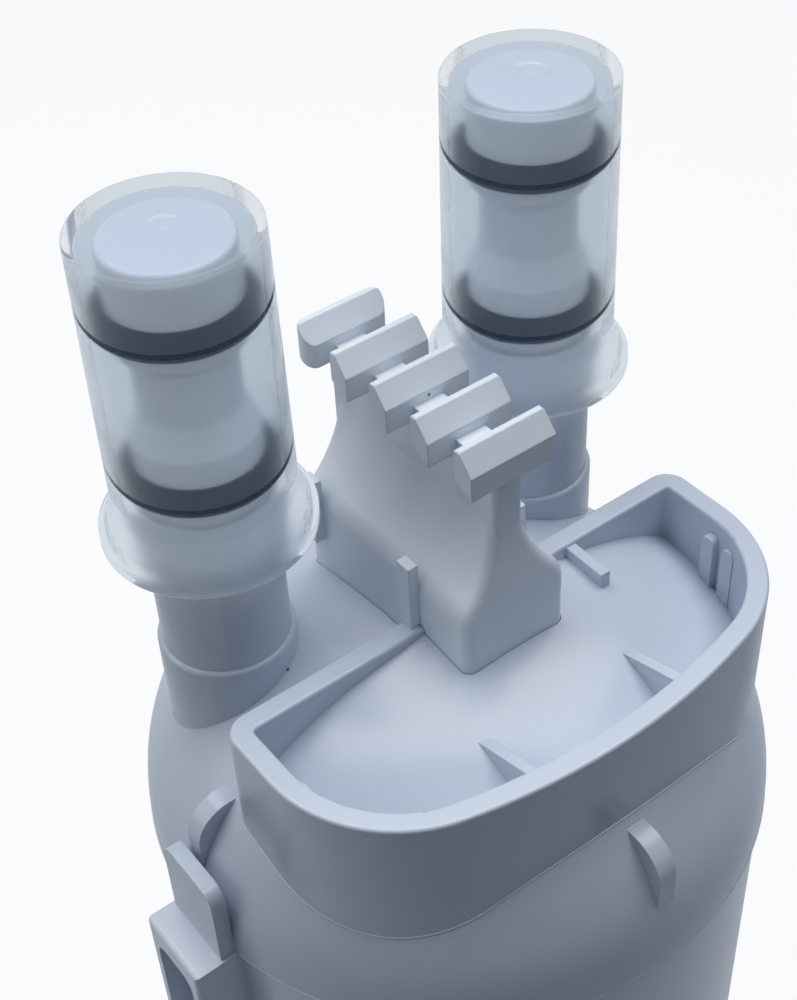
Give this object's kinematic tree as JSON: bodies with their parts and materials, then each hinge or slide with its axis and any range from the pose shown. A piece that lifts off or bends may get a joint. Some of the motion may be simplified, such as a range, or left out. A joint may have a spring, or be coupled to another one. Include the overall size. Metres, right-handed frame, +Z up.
{
  "type": "fridge water filter cartridge",
  "caption": "Round water filter cartridge with domed head, open tray, toothed key and twin ports under clear lift-off caps.",
  "frame": {"origin": "centre of the barrel's flat base", "axes": "+Z up the barrel to the ports, +X from the inlet port to the outlet port, the tray faces -Y"},
  "size_m": [0.0728, 0.0684, 0.2284],
  "materials": {
    "shell_white": "satin",
    "key_white": "satin",
    "inner_white": "moulded",
    "cap_clear": "frosted",
    "ring_rubber": "smooth",
    "carbon": "pressed block",
    "wrap": "felt",
    "net": "netting"
  },
  "bodies": {
    "cartridge": {"canister": "shell_white", "head": "shell_white", "key_rack": "key_white", "inlet_lower_ring": "ring_rubber", "inlet_upper_ring": "ring_rubber", "outlet_lower_ring": "ring_rubber", "outlet_upper_ring": "ring_rubber", "flow_plate": "inner_white", "duct_seal": "ring_rubber", "carbon_block": "carbon", "core_tube": "inner_white", "prefilter_wrap": "wrap", "netting_sleeve": "net", "upper_end_cap": "inner_white", "spigot_lower_ring": "ring_rubber", "spigot_upper_ring": "ring_rubber", "lower_end_cap": "inner_white"},
    "inlet_cover": {"inlet_cap": "cap_clear"},
    "outlet_cover": {"outlet_cap": "cap_clear"}
  },
  "joints": [
    {"name": "inlet_cap_lift", "type": "slide", "parent": "cartridge", "child": "inlet_cover", "axis": [0, 0, 1], "range_m": [0, 0.04]},
    {"name": "outlet_cap_lift", "type": "slide", "parent": "cartridge", "child": "outlet_cover", "axis": [0, 0, 1], "range_m": [0, 0.04]}
  ]
}
